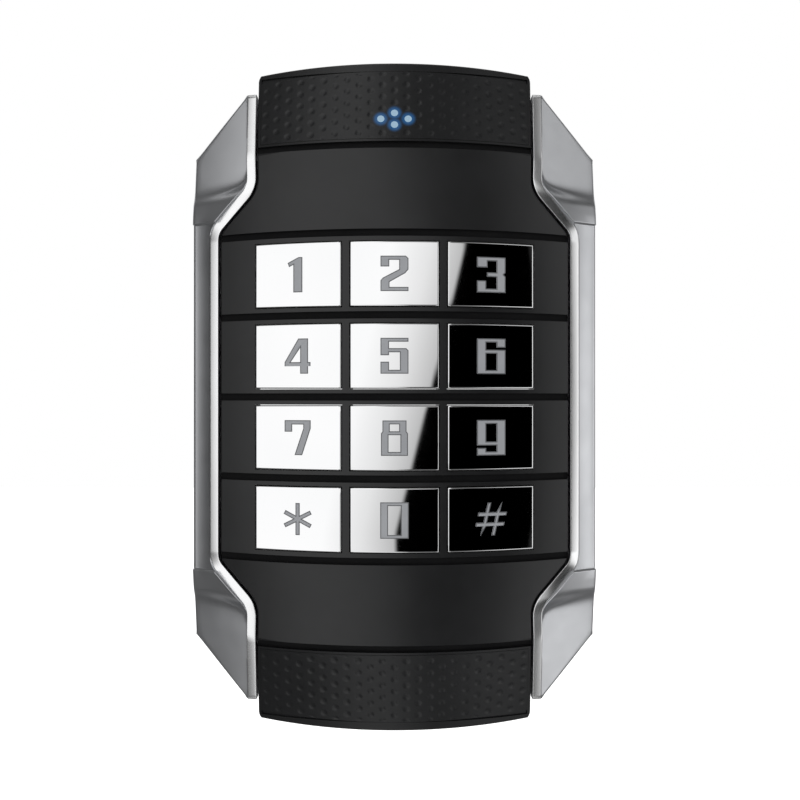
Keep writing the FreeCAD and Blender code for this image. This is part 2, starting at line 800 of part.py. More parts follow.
def make_key_cap(name, column, row):
    """A plated shell whose face follows the arched front, with a flange that keeps it in."""
    x, z = key_middle(column, row)
    block = brick(f"cap_block_{name}", x, z, "key_width", "key_height", ("flange_low", "40"))
    block = common(f"cap_arched_{name}", [block, arch(f"cap_arch_{name}", "key_proud", "0",
                                                      "depth", "0")])
    DOC.recompute()
    face = next(f for f in block.Shape.Faces if isinstance(f.Surface, Part.Cylinder))
    rim = [n for n, e in enumerate(block.Shape.Edges, 1) if any(e.isSame(k) for k in face.Edges)]
    bevelled = DOC.addObject("Part::Chamfer", f"cap_bevelled_{name}")
    bevelled.Base = block
    bevelled.Edges = [(n, SIZES["key_bevel"], SIZES["key_bevel"]) for n in rim]
    flange = brick(f"cap_flange_{name}", x, z, "key_width + 2 * flange_lip",
                   "key_height + 2 * flange_lip", ("flange_low", "flange_high"))
    return cut(f"cap_{name}", fuse(f"cap_sum_{name}", [bevelled, flange]),
               key_room(f"cap_room_{name}", column, row))


def key_room(name, column, row):
    x, z = key_middle(column, row)
    roof = "side_roof" if column else "middle_roof"
    return brick(name, x, z, "key_width - 2 * key_wall", "key_height - 2 * key_wall",
                 ("flange_low", roof))


def make_parts():
    """Every sub-part under the name of its file."""
    parts = {
        "front_cover": make_front_cover(),
        "side_housing": make_housing(),
        "housing_seal": make_seal(),
        "back_cover": make_back_cover(),
        "mounting_plate": make_mounting_plate(),
        "main_board": make_main_board(),
        "antenna_coil": make_antenna(),
        "keypad_mat": make_keypad_mat(),
        "contact_pills": make_contact_pills(),
        "backlight_leds": make_backlights(),
        "status_leds": make_status_leds(),
        "status_light_guide": make_light_guide(),
        "buzzer": make_buzzer(),
        "controller_chip": make_controller(),
        "reader_chip": brick("reader_block", "2", "-30", 6, 6, ("board_low - 0.9", "board_low")),
        "input_capacitor": post("capacitor_can", "12", "-46", ("4.8", "board_low"), 4),
        "small_parts": make_small_parts(),
        "wiring_socket": make_socket(),
        "socket_pins": make_socket_pins(),
        "dip_switch_body": make_switch_body(),
        "tamper_switch_body": make_tamper_body(),
        "tamper_plunger": make_tamper_plunger(),
        "tamper_spring": make_tamper_spring(),
        "board_screws": make_screws("board_screw", BOARD_SCREWS, ("8.6", "board_low", 1.9),
                                    ("board_low", "16", 0.9)),
        "cover_screws": make_screws("cover_screw", COVER_SCREWS, ("6.2", "shelf_level", 2.0),
                                    ("shelf_level", "15", 1.1)),
        "back_cover_screws": make_screws("back_screw", BACK_SCREWS, ("0.5", "back_low", 2.1),
                                         ("back_low", "10.5", 1.1)),
        "security_screw": make_security_screw(),
    }
    for i in range(SWITCH_COUNT):
        parts[f"dip_slider_{i + 1}"] = make_switch_slider(i)
    for name, column, row in KEYS:
        parts[f"key_{name}_cap"] = make_key_cap(name, column, row)
        parts[f"key_{name}_light_core"] = key_room(f"core_{name}", column, row)
    return parts


def check_and_write(parts):
    DOC.recompute()
    for item in DOC.Objects:
        if "Invalid" in item.State or "Error" in item.State:
            raise RuntimeError(f"{item.Name} failed: {item.State}")
    os.makedirs("parts", exist_ok=True)
    for name, item in parts.items():
        item.Label = name
        if item.Shape.isNull() or not item.Shape.isValid() or not item.Shape.Solids:
            raise RuntimeError(f"{name} has no valid solid")
        item.Shape.exportStep(f"parts/{name}.step")
        solids = len(item.Shape.Solids)
        print(f"{name}: {solids} solid(s), {item.Shape.Volume:.1f} mm3")


make_sheet()
check_and_write(make_parts())
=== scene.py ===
"""Looks for the keypad access reader: materials, key caps, digits, grip texture and studio.

Everything is in metres in the CAD frame: X right, Z up, the front faces -Y, the wall is Y = 0.
A level is a height above the wall, so a point at level L has Y = -L.
"""
import json
import math

import bmesh
import bpy
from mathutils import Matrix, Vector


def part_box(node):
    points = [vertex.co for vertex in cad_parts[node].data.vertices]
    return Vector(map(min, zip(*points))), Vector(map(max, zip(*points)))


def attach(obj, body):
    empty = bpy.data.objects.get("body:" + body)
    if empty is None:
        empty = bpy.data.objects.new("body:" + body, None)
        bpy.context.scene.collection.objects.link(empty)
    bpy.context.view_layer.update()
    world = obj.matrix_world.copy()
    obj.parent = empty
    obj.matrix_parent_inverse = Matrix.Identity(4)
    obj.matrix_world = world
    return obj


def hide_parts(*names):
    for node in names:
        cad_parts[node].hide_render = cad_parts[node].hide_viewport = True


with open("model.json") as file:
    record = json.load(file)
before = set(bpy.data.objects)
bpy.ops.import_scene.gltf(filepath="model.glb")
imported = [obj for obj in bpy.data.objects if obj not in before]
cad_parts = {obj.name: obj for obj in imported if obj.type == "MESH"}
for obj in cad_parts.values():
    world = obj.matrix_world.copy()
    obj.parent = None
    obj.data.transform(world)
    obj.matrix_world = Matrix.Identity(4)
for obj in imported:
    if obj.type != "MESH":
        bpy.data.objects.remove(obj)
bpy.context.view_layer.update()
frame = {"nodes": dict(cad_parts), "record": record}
NODES = frame["nodes"]

MM = 0.001
ROOT = "reader_body"

# The arched front, as in the CAD: one radius across, two slopes towards each end.
DEPTH = 27.0 * MM
ARCH_RADIUS = 80.0 * MM
SLOPE_START = 33.6 * MM
SLOPE_TILT = math.radians(6.0)
END_START = 52.0 * MM
END_TILT = math.radians(20.0)
KEY_PROUD = 0.35 * MM
ROW_PITCH = 16.75 * MM

KEYS = ("1", "2", "3", "4", "5", "6", "7", "8", "9", "star", "0", "hash")


# ---------------------------------------------------------------- node trees

class Tree:
    """A node tree with short ways to add and join nodes."""

    def __init__(self, tree):
        self.tree = tree

    def add(self, kind, **settings):
        node = self.tree.nodes.new("ShaderNode" + kind)
        for name, value in settings.items():
            setattr(node, name, value)
        return node

    def join(self, source, target):
        self.tree.links.new(source, target)

    def calc(self, operation, *values):
        """A maths node's result; each value is a number or another node's output."""
        node = self.add("Math", operation=operation)
        for socket, value in zip(node.inputs, values):
            if isinstance(value, (int, float)):
                socket.default_value = value
            else:
                self.join(value, socket)
        return node.outputs[0]

    def ramp(self, source, stops):
        """Colours along a source that runs from 0 to 1, straight between the stops."""
        ramp = self.add("ValToRGB")
        elements = ramp.color_ramp.elements
        while len(elements) < len(stops):
            elements.new(0.5)
        for element, (place, colour) in zip(elements, stops):
            element.position = place
            element.color = (*colour, 1)
        self.join(source, ramp.inputs["Fac"])
        return ramp.outputs["Color"]


class Material(Tree):
    """A Principled material, with ways to vary its colour, its gloss and its surface."""

    def __init__(self, name, roughness, metallic=0.0, ior=1.5):
        self.material = bpy.data.materials.new(name)
        self.material.use_nodes = True
        super().__init__(self.material.node_tree)
        self.shader = self.tree.nodes["Principled BSDF"]
        self.set("Roughness", roughness)
        self.set("Metallic", metallic)
        self.set("IOR", ior)

    def set(self, socket, value):
        self.shader.inputs[socket].default_value = value

    def drive(self, socket, source):
        self.join(source, self.shader.inputs[socket])

    def noise(self, scale, detail):
        """Noise with about this many features to the metre, so 1000 makes them 1 mm wide."""
        place = self.add("TexCoord")
        sized = self.add("Mapping")
        sized.inputs["Scale"].default_value = (scale, scale, scale)
        self.join(place.outputs["Object"], sized.inputs["Vector"])
        noise = self.add("TexNoise")
        noise.inputs["Scale"].default_value = 1.0
        noise.inputs["Detail"].default_value = detail
        self.join(sized.outputs["Vector"], noise.inputs["Vector"])
        return noise.outputs["Fac"]

    def vary_colour(self, scale, detail, low, high):
        stops = [(TONE_LOW, low), (TONE_HIGH, high)]
        self.drive("Base Color", self.ramp(self.noise(scale, detail), stops))

    def vary_gloss(self, scale, detail, low, high):
        spread = self.add("MapRange")
        spread.inputs["To Min"].default_value = low
        spread.inputs["To Max"].default_value = high
        self.join(self.noise(scale, detail), spread.inputs["Value"])
        self.drive("Roughness", spread.outputs["Result"])

    def add_grain(self, scale, strength, depth=0.03 * MM):
        bump = self.add("Bump")
        bump.inputs["Strength"].default_value = strength
        bump.inputs["Distance"].default_value = depth
        self.join(self.noise(scale, GRAIN_DETAIL), bump.inputs["Height"])
        self.drive("Normal", bump.outputs["Normal"])


# ---------------------------------------------------------------- materials

# The values of a noise between which a surface's colour goes from its low to its high tone.
TONE_LOW = 0.3
TONE_HIGH = 0.7
GRAIN_DETAIL = 2
DEEP_GRAIN = 0.04 * MM

# The four status lights, and how far and how brightly they light the plastic round them.
LIGHT_RADIUS = 0.75 * MM
LIGHT_SPREAD = 2.85 * MM
LIGHT_RISE = 1.35 * MM
GLOW_REACH = 1.2 * MM
GLOW_STRENGTH = 0.32
GLOW_COLOUR = (0.02, 0.22, 0.62, 1)


def black_plastic(name):
    """Satin black ABS with a very fine moulded grain."""
    m = Material(name, 0.32)
    m.vary_colour(90, 2, (0.009, 0.0093, 0.010), (0.013, 0.0134, 0.0145))
    m.vary_gloss(350, 3, 0.29, 0.37)
    m.add_grain(5200, 0.25, DEEP_GRAIN)
    return m


def make_groove_shade():
    """The bottom of a seam: dull, and darker as painted shade where little light reaches into it.
    """
    m = Material("groove_painted_shade", 0.8, ior=1.3)
    m.vary_colour(120, 2, (0.004, 0.004, 0.0045), (0.007, 0.007, 0.0075))
    m.add_grain(4000, 0.2, DEEP_GRAIN)
    return m.material


def make_lit_grip():
    """The front's plastic, glowing faintly blue where the status lights shine into it."""
    m = black_plastic("lit_plastic")
    low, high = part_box("status_light_guide")
    middle_x, middle_z = (low.x + high.x) / 2, (low.z + high.z) / 2
    place = m.add("TexCoord")
    flat = m.add("VectorMath", operation="MULTIPLY")
    flat.inputs[1].default_value = (1, 0, 1)
    m.join(place.outputs["Object"], flat.inputs[0])
    nearest = None
    for x, z in ((-1, 0), (1, 0), (0, -1), (0, 1)):
        away = m.add("VectorMath", operation="DISTANCE")
        away.inputs[1].default_value = (middle_x + x * LIGHT_SPREAD, 0,
                                        middle_z + z * LIGHT_RISE)
        m.join(flat.outputs["Vector"], away.inputs[0])
        distance = away.outputs["Value"]
        nearest = distance if nearest is None else m.calc("MINIMUM", nearest, distance)
    fade = m.add("MapRange", interpolation_type="SMOOTHERSTEP")
    limits = (LIGHT_RADIUS, LIGHT_RADIUS + GLOW_REACH, GLOW_STRENGTH, 0.0)
    for socket, value in zip(fade.inputs[1:5], limits):
        socket.default_value = value
    m.join(nearest, fade.inputs["Value"])
    m.set("Emission Color", GLOW_COLOUR)
    m.drive("Emission Strength", fade.outputs["Result"])
    return m.material


def make_silver():
    """Die-cast zinc in a satin silver lacquer."""
    m = Material("cast_silver", 0.3, metallic=1.0)
    m.vary_colour(60, 3, (0.60, 0.61, 0.63), (0.68, 0.69, 0.71))
    m.vary_gloss(260, 3, 0.26, 0.36)
    m.add_grain(6500, 0.12)
    return m.material


def make_lip():
    """The same casting, buffed along its lip."""
    m = Material("polished_lip", 0.25, metallic=1.0)
    m.vary_colour(60, 3, (0.92, 0.925, 0.93), (0.96, 0.96, 0.965))
    m.vary_gloss(260, 3, 0.22, 0.29)
    return m.material


def make_plated():
    """Mirror plating over moulded plastic."""
    m = Material("plated_key", 0.035, metallic=1.0)
    m.vary_colour(35, 2, (0.90, 0.905, 0.91), (0.94, 0.94, 0.945))
    m.vary_gloss(120, 2, 0.02, 0.05)
    return m.material


def make_legend_material(name, low, high, glow):
    """Frosted light-guiding plastic that shows through the plating."""
    m = Material(name, 0.35, ior=1.49)
    m.set("Emission Color", (0.9, 0.94, 1.0, 1))
    m.set("Emission Strength", glow)
    m.vary_colour(160, 3, low, high)
    m.vary_gloss(700, 2, 0.28, 0.42)
    m.add_grain(4500, 0.1)
    return m.material


def make_glow(name, colour, strength):
    """An even surface that also gives off its own colour."""
    m = Material(name, 0.25)
    m.set("Base Color", (*colour, 1))
    m.set("Emission Color", (*colour, 1))
    m.set("Emission Strength", strength)
    return m.material


def make_plain(name, colour, roughness, metallic=0.0, grain=2500, variation=0.12, bump=0.15):
    """A moulded or plated surface with slight unevenness in colour, gloss and grain."""
    m = Material(name, roughness, metallic)
    low, high = ([min(1.0, c * (1 + way * variation)) for c in colour] for way in (-1, 1))
    m.vary_colour(150, 3, low, high)
    m.vary_gloss(400, 3, roughness * 0.85, roughness * 1.15)
    m.add_grain(grain, bump)
    return m.material


# Each slot's colour and roughness, and what else make_plain is told.
METAL = {"metallic": 1.0}
PLAIN_SLOTS = {
    "key_core": ((0.80, 0.84, 0.88), 0.3, {}),
    "seal_rubber": ((0.02, 0.02, 0.021), 0.7, {}),
    "mat_rubber": ((0.55, 0.57, 0.60), 0.6, {}),
    "carbon": ((0.02, 0.02, 0.02), 0.6, {}),
    "back_plastic": ((0.03, 0.03, 0.032), 0.55, {"grain": 3000}),
    "plate_steel": ((0.62, 0.63, 0.65), 0.35, {"metallic": 1.0, "variation": 0.06}),
    "screw_steel": ((0.58, 0.59, 0.61), 0.28, METAL),
    "spring_steel": ((0.55, 0.55, 0.56), 0.3, METAL),
    "board": ((0.02, 0.16, 0.06), 0.35, {"bump": 0.05}),
    "copper": ((0.80, 0.42, 0.22), 0.3, METAL),
    "pin_metal": ((0.83, 0.72, 0.45), 0.25, METAL),
    "chip_black": ((0.025, 0.025, 0.027), 0.5, {}),
    "socket_white": ((0.80, 0.79, 0.74), 0.45, {}),
    "switch_blue": ((0.03, 0.12, 0.42), 0.4, {}),
    "slider_white": ((0.86, 0.86, 0.84), 0.4, {}),
    "capacitor_can": ((0.70, 0.70, 0.72), 0.3, METAL),
    "led_body": ((0.80, 0.84, 0.76), 0.2, {}),
}
MATERIALS = {
    "front_plastic": black_plastic("front_plastic").material,
    "cast_silver": make_silver(),
    "plated_key": make_plated(),
    "light_pipe": make_glow("light_pipe", (0.30, 0.44, 0.56), 0.5),
}
for slot, (colour, roughness, more) in PLAIN_SLOTS.items():
    MATERIALS[slot] = make_plain(slot, colour, roughness, **more)


def dress_nodes():
    """Give every CAD node the material of its slot."""
    slots = {s["node"]: s["material_slot"] for s in frame["record"]["subparts"]}
    for name, item in NODES.items():
        item.data.materials.clear()
        item.data.materials.append(MATERIALS[slots[name]])


# A face belongs to a seam, and gets the painted shade, when it is this near to the seam's middle
# and this deep.
SEAM_REACH = 0.78 * MM
SEAM_SHALLOWEST = 0.12 * MM
SEAM_DEEPEST = 0.85 * MM


def darken_grooves():
    """The bottoms and walls of the front's seams get a darker material: painted shade in the
    seams.
    """
    cover = NODES["front_cover"].data
    cover.materials.append(make_groove_shade())
    heights = [0.0] + [way * z for z in (ROW_PITCH, SLOPE_START, END_START) for way in (-1, 1)]
    for face in cover.polygons:
        x, y, z = face.center
        below = crest_level(x, z) + y
        away = min(abs(z - height) for height in heights)
        if SEAM_SHALLOWEST < below < SEAM_DEEPEST and away < SEAM_REACH:
            # this face gets the seams' painted shade
            face.material_index = 1


# ---------------------------------------------------------------- studio

CAMERA_AWAY = 227 * MM
CAMERA_LENS = 44.2
CAMERA_SHIFT = (0.0069, -0.0038)
CAMERA_NEAR = 10 * MM
FLOOR_HALF_SIZE = 1.5
FLOOR_DROP = 160 * MM

# How bright each light is by an angle in degrees, straight between (angle, brightness) stops.
# The card stands to the left. It ends at a slanted edge, and its shade deepens towards it.
CARD_EDGE = [(-180, 1.0), (-14, 1.0), (0, 0.80), (11.3, 0.52), (11.9, 0.0)]
CARD_EDGE_SLANT = 1.47
CARD_FOOT_SLANT = 0.15
CARD_FOOT = 12.9
CARD_LEFT = [(-95, 0.05), (-74, 0.08), (-58, 1.05), (180, 1.05)]
CARD_LEFT_SPLAY = 0.62
CARD_LEFT_LEAN = 0.16
CARD_TOP = [(35, 1.0), (40, 0.0)]
CARD_TOP_LIMIT = 34.0
CARD_TOP_SLANT = 1.3
# The strip stands to the right: where it begins, how it fades outwards, and how it fades upwards.
STRIP_START = [(56, 0.0), (70, 1.25)]
STRIP_START_LIMIT = 32.0
STRIP_START_SPLAY = 0.8
STRIP_FADE = [(79, 1.0), (101, 0.36), (125, 0.08)]
STRIP_HEIGHT = [(-30, 1.15), (0, 1.0), (30, 0.8)]
# The room behind the part, the ceiling and floor, and a faint fill.
BEHIND = [(112, 0.0), (132, 0.6)]
BEHIND_HEIGHT = [(-40, 0.45), (45, 1.2)]
OVERHEAD = [(70, 0.0), (84, 0.5)]
FILL = [(12, 0.0), (22, 0.10)]


def make_camera():
    camera = bpy.data.objects.new("camera", bpy.data.cameras.new("camera"))
    bpy.context.scene.collection.objects.link(camera)
    camera.location = (0, -CAMERA_AWAY, 0)
    camera.rotation_euler = (math.radians(90), 0, 0)
    camera.data.lens = CAMERA_LENS
    camera.data.clip_start = CAMERA_NEAR
    camera.data.shift_x, camera.data.shift_y = CAMERA_SHIFT
    bpy.context.scene.camera = camera


def studio_light(t):
    """The studio's brightness by direction: a card, a dark gap, a strip, and the room.

    side is the bearing from straight ahead, positive to the right; rise is the height angle.
    """
    def add(a, b):
        return t.calc("ADD", a, b)

    def times(a, b):
        return t.calc("MULTIPLY", a, b)

    def light(angle, stops):
        share = t.calc("MULTIPLY_ADD", angle, 1 / 360, 0.5)
        return t.ramp(share, [(place / 360 + 0.5, (value,) * 3) for place, value in stops])

    place = t.add("TexCoord")
    split = t.add("SeparateXYZ")
    t.join(place.outputs["Generated"], split.inputs[0])
    x, y, z = split.outputs
    side = times(t.calc("ARCTAN2", x, times(y, -1.0)), math.degrees(1))
    rise = times(t.calc("ARCSINE", z), math.degrees(1))
    steep = t.calc("ABSOLUTE", rise)

    upper = t.calc("SUBTRACT", side, times(rise, CARD_EDGE_SLANT))
    lower = add(add(side, times(rise, CARD_FOOT_SLANT)), CARD_FOOT)
    left = add(t.calc("SUBTRACT", side, times(steep, CARD_LEFT_SPLAY)),
               times(rise, CARD_LEFT_LEAN))
    top = add(side, times(t.calc("MINIMUM", rise, CARD_TOP_LIMIT), CARD_TOP_SLANT))
    card = times(light(t.calc("MINIMUM", upper, lower), CARD_EDGE), light(left, CARD_LEFT))
    card = times(card, light(top, CARD_TOP))

    splay = times(t.calc("MINIMUM", steep, STRIP_START_LIMIT), STRIP_START_SPLAY)
    strip = times(light(add(side, splay), STRIP_START), light(add(side, steep), STRIP_FADE))
    strip = times(strip, light(rise, STRIP_HEIGHT))

    behind = times(light(t.calc("ABSOLUTE", side), BEHIND), light(rise, BEHIND_HEIGHT))
    front = t.calc("MAXIMUM", light(steep, FILL), add(card, strip))
    return add(front, t.calc("MAXIMUM", behind, light(steep, OVERHEAD)))


def make_world():
    """The studio lights the part; the camera itself sees plain white."""
    world = bpy.data.worlds.new("studio")
    world.use_nodes = True
    bpy.context.scene.world = world
    t = Tree(world.node_tree)
    t.tree.nodes.clear()
    lit = t.add("Background")
    t.join(studio_light(t), lit.inputs["Color"])
    white = t.add("Background")
    white.inputs["Color"].default_value = (1, 1, 1, 1)
    path = t.add("LightPath")
    mix = t.add("MixShader")
    output = t.add("OutputWorld")
    t.join(path.outputs["Is Camera Ray"], mix.inputs["Fac"])
    t.join(lit.outputs[0], mix.inputs[1])
    t.join(white.outputs[0], mix.inputs[2])
    t.join(mix.outputs[0], output.inputs["Surface"])


def make_floor():
    """A plain pale floor under the part; it isn't seen in reflections."""
    mesh = bpy.data.meshes.new("floor")
    corners = [(x * FLOOR_HALF_SIZE, y * FLOOR_HALF_SIZE, -FLOOR_DROP)
               for x, y in ((-1, -1), (1, -1), (1, 1), (-1, 1))]
    mesh.from_pydata(corners, [], [(0, 1, 2, 3)])
    floor = bpy.data.objects.new("floor", mesh)
    bpy.context.scene.collection.objects.link(floor)
    mesh.materials.append(make_glow("floor_white", (0.955, 0.955, 0.95), 1.0))
    floor.visible_glossy = False
    floor.visible_diffuse = False
    floor.visible_shadow = False


# ---------------------------------------------------------------- mesh helpers

def crest_level(x, z, grow=0.0):
    """Level of the arched front at a place, grow above it."""
    sag = ARCH_RADIUS - math.sqrt((ARCH_RADIUS + grow) ** 2 - x * x)
    end_level = DEPTH - (END_START - SLOPE_START) * math.tan(SLOPE_TILT)
    zones = (
        (0.0, DEPTH, 0.0),
        (SLOPE_START, DEPTH, SLOPE_TILT),
        (END_START, end_level, END_TILT),
    )
    return min(level - (abs(z) - pivot) * math.tan(tilt) - sag / math.cos(tilt)
               for pivot, level, tilt in zones)


def finish_piece(bm, name, body, slot, smooth_angle=35, material=None):
    """Turn a bmesh into a piece that rides on a body and has its slot's material."""
    bmesh.ops.recalc_face_normals(bm, faces=bm.faces)
    if bm.calc_volume(signed=True) < 0:
        bmesh.ops.reverse_faces(bm, faces=bm.faces)
    mesh = bpy.data.meshes.new(name)
    bm.to_mesh(mesh)
    bm.free()
    piece = bpy.data.objects.new(name, mesh)
    bpy.context.scene.collection.objects.link(piece)
    mesh.materials.append(material or MATERIALS[slot])
    mesh.shade_smooth()
    mesh.set_sharp_from_angle(angle=math.radians(smooth_angle))
    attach(piece, body)
    return piece


def bridge(bm, ring_a, ring_b, closed=True):
    """Faces between two rings or rows of the same count."""
    count = len(ring_a) if closed else len(ring_a) - 1
    for i in range(count):
        j = (i + 1) % len(ring_a)
        bm.faces.new((ring_a[i], ring_a[j], ring_b[j], ring_b[i]))


# ---------------------------------------------------------------- key caps

KEY_COLUMNS = 24
KEY_ROWS = 10
KEY_BEVEL = 0.24 * MM
KEY_BEVEL_STEPS = 4
KEY_FACE_INSET = KEY_BEVEL * 1.12
KEY_FLANGE = 0.8 * MM
KEY_WALL = 1.2 * MM
FLANGE_LOW = 16.3 * MM
FLANGE_HIGH = 17.3 * MM


def key_frame(name):
    """The middle and half sizes of a key's face, from its cap's box."""
    low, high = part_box(f"key_{name}_cap")
    middle = ((low.x + high.x) / 2, (low.z + high.z) / 2)
    return middle, ((high.x - low.x) / 2 - KEY_FLANGE, (high.z - low.z) / 2 - KEY_FLANGE)


def shrink(half, inset):
    return half[0] - inset, half[1] - inset


def key_ring(bm, middle, half, level):
    """A ring of points round a key, level given by a function of x and z."""
    points = [(2 * i / KEY_COLUMNS - 1, -1) for i in range(KEY_COLUMNS)]
    points += [(1, 2 * i / KEY_ROWS - 1) for i in range(KEY_ROWS)]
    points += [(-u, -v) for u, v in points]
    ring = []
    for u, v in points:
        x, z = middle[0] + u * half[0], middle[1] + v * half[1]
        ring.append(bm.verts.new((x, -level(x, z), z)))
    return ring


def fill_ring(bm, ring, middle, half, level):
    """A grid of faces inside a ring made by key_ring."""
    grid = {}
    for i, vert in enumerate(ring):
        if i <= KEY_COLUMNS:
            grid[i, 0] = vert
        elif i <= KEY_COLUMNS + KEY_ROWS:
            grid[KEY_COLUMNS, i - KEY_COLUMNS] = vert
        elif i <= 2 * KEY_COLUMNS + KEY_ROWS:
            grid[2 * KEY_COLUMNS + KEY_ROWS - i, KEY_ROWS] = vert
        else:
            grid[0, 2 * (KEY_COLUMNS + KEY_ROWS) - i] = vert
    for i in range(1, KEY_COLUMNS):
        for j in range(1, KEY_ROWS):
            x = middle[0] + (2 * i / KEY_COLUMNS - 1) * half[0]
            z = middle[1] + (2 * j / KEY_ROWS - 1) * half[1]
            grid[i, j] = bm.verts.new((x, -level(x, z), z))
    for i in range(KEY_COLUMNS):
        for j in range(KEY_ROWS):
            bm.faces.new((grid[i, j], grid[i + 1, j], grid[i + 1, j + 1], grid[i, j + 1]))


def make_key_cap(name):
    """A plated cap: an exact arched face, a rounded rim, a flange and a hollow for its core."""
    middle, half = key_frame(name)
    roof = -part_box(f"key_{name}_light_core")[0].y

    def arched(drop):
        return lambda x, z: crest_level(x, z, KEY_PROUD) - drop

    def flat(height):
        return lambda x, z: height

    turns = [math.radians(90 * step / KEY_BEVEL_STEPS) for step in range(KEY_BEVEL_STEPS + 1)]
    steps = [(KEY_FACE_INSET, arched(0.0))]
    steps += [(KEY_BEVEL * (1 - math.sin(turn)), arched(KEY_BEVEL * (1 - math.cos(turn))))
              for turn in turns]
    steps += [(0.0, flat(FLANGE_HIGH)), (-KEY_FLANGE, flat(FLANGE_HIGH)),
              (-KEY_FLANGE, flat(FLANGE_LOW)), (KEY_WALL, flat(FLANGE_LOW)),
              (KEY_WALL, flat(roof))]
    bm = bmesh.new()
    rings = [key_ring(bm, middle, shrink(half, inset), level) for inset, level in steps]
    for ring_a, ring_b in zip(rings, rings[1:]):
        bridge(bm, ring_a, ring_b)
    for end in (0, -1):
        inset, level = steps[end]
        fill_ring(bm, rings[end], middle, shrink(half, inset), level)
    piece = finish_piece(bm, f"key_{name}_plated_cap", f"key_{name}", "plated_key", 50)
    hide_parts(f"key_{name}_cap")


# ---------------------------------------------------------------- key legends

# How far a figure stands out of its key and reaches into it.
LEGEND_RISE = 0.05 * MM
LEGEND_SINK = 0.12 * MM
# In the figure's own millimetres: its darker rim, the slices that let it bend, and what merges.
LEGEND_RIM = 0.2
LEGEND_SLICE = 0.6
LEGEND_SLICES = 5
LEGEND_MERGE = 0.001
LEGEND_SLIVER = 0.002


def star_outline():
    """Six arms round the middle: two upright, four at a slant and a little shorter."""
    half_width, upright, slanted = 0.44, 3.3, 3.1
    arms = (90, 153, 207, 270, 333, 27)
    points = []
    for i, angle in enumerate(arms):
        turn = math.radians(angle)
        along = (math.cos(turn), math.sin(turn))
        length = upright if angle in (90, 270) else slanted
        for side in (-1, 1):
            points.append((along[0] * length - side * half_width * along[1],
                           along[1] * length + side * half_width * along[0]))
        after = math.radians((arms[(i + 1) % len(arms)] - angle) % 360)
        corner = half_width / math.sin(after / 2)
        points.append((corner * math.cos(turn + after / 2), corner * math.sin(turn + after / 2)))
    return [points]


def hash_outline():
    """Two slanted uprights crossed by two level bars."""
    half_width, up, across, tall, wide = 0.36, 1.15, 1.05, 3.4, 3.0
    a, b = up - half_width, up + half_width
    c, d = across - half_width, across + half_width
    half = [(b, tall), (b, d), (wide, d), (wide, c), (b, c), (b, -c), (wide, -c), (wide, -d),
            (b, -d), (b, -tall), (a, -tall), (a, -d), (-a, -d)]
    outer = half + [(-x, -z) for x, z in half]
    hole = [(a, c), (-a, c), (-a, -c), (a, -c)]
    slant = math.tan(math.radians(13))
    return [[(x + slant * z, z) for x, z in line] for line in (outer, hole)]


